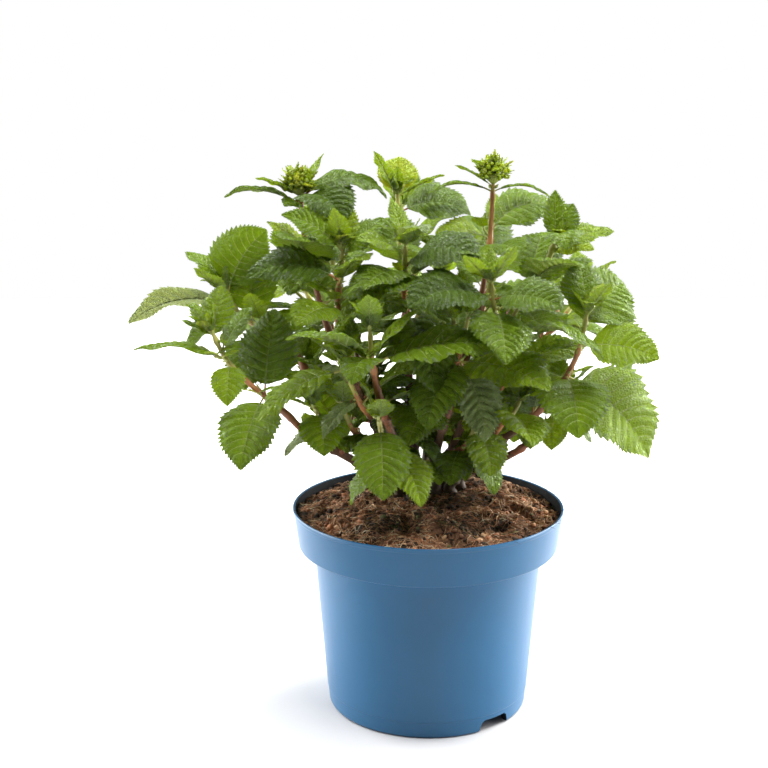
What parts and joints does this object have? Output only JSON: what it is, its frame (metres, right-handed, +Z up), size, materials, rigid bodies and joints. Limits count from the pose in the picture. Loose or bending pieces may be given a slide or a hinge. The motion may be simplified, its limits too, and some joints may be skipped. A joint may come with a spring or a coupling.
{
  "type": "potted shrub",
  "caption": "Leafy broad-leaved garden shrub on many low stems, with two flower buds, in a round tapered nursery pot with a deep collar.",
  "frame": {"origin": "centre of the pot's flat underside", "axes": "+Z up along the pot's axis, +X to the right and +Y away from the viewer, seen from the pictured side"},
  "size_m": [0.4051, 0.3042, 0.4294],
  "materials": {
    "pot": "satin blue",
    "soil": "rough, fibrous brown",
    "bark": "red-brown young bark",
    "leaf": "glossy green leaves"
  },
  "bodies": {
    "root": {"pot": "pot", "soil": "soil", "bough_left": "bark", "bough_left_back": "bark", "bough_top_left": "bark", "bough_mid_left": "bark", "bough_front_left": "bark", "bough_centre": "bark", "bough_front": "bark", "bough_front_right": "bark", "bough_top_right": "bark", "bough_right_top": "bark", "bough_right": "bark", "bough_right_low": "bark", "bough_right_back": "bark", "bough_back": "bark", "bough_back_left": "bark", "foliage_left_low": "leaf", "foliage_left": "leaf", "foliage_bud_left": "leaf", "foliage_mid_left": "leaf", "foliage_front_left": "leaf", "foliage_centre": "leaf", "foliage_centre_top": "leaf", "foliage_front": "leaf", "foliage_front_right": "leaf", "foliage_bud_right": "leaf", "foliage_right_top": "leaf", "foliage_right": "leaf", "foliage_right_low": "leaf", "foliage_left_front": "leaf", "foliage_left_foot": "leaf", "foliage_front_foot": "leaf", "foliage_centre_foot": "leaf", "foliage_mid_foot": "leaf", "foliage_right_foot": "leaf", "foliage_centre_low": "leaf", "foliage_inner_right": "leaf", "foliage_inner_left": "leaf", "foliage_right_back": "leaf", "foliage_back_right": "leaf", "foliage_back_right_foot": "leaf", "foliage_back": "leaf", "foliage_back_top": "leaf", "foliage_back_foot": "leaf", "foliage_back_left": "leaf", "foliage_top_left_back": "leaf", "foliage_left_back_foot": "leaf"}
  },
  "joints": []
}
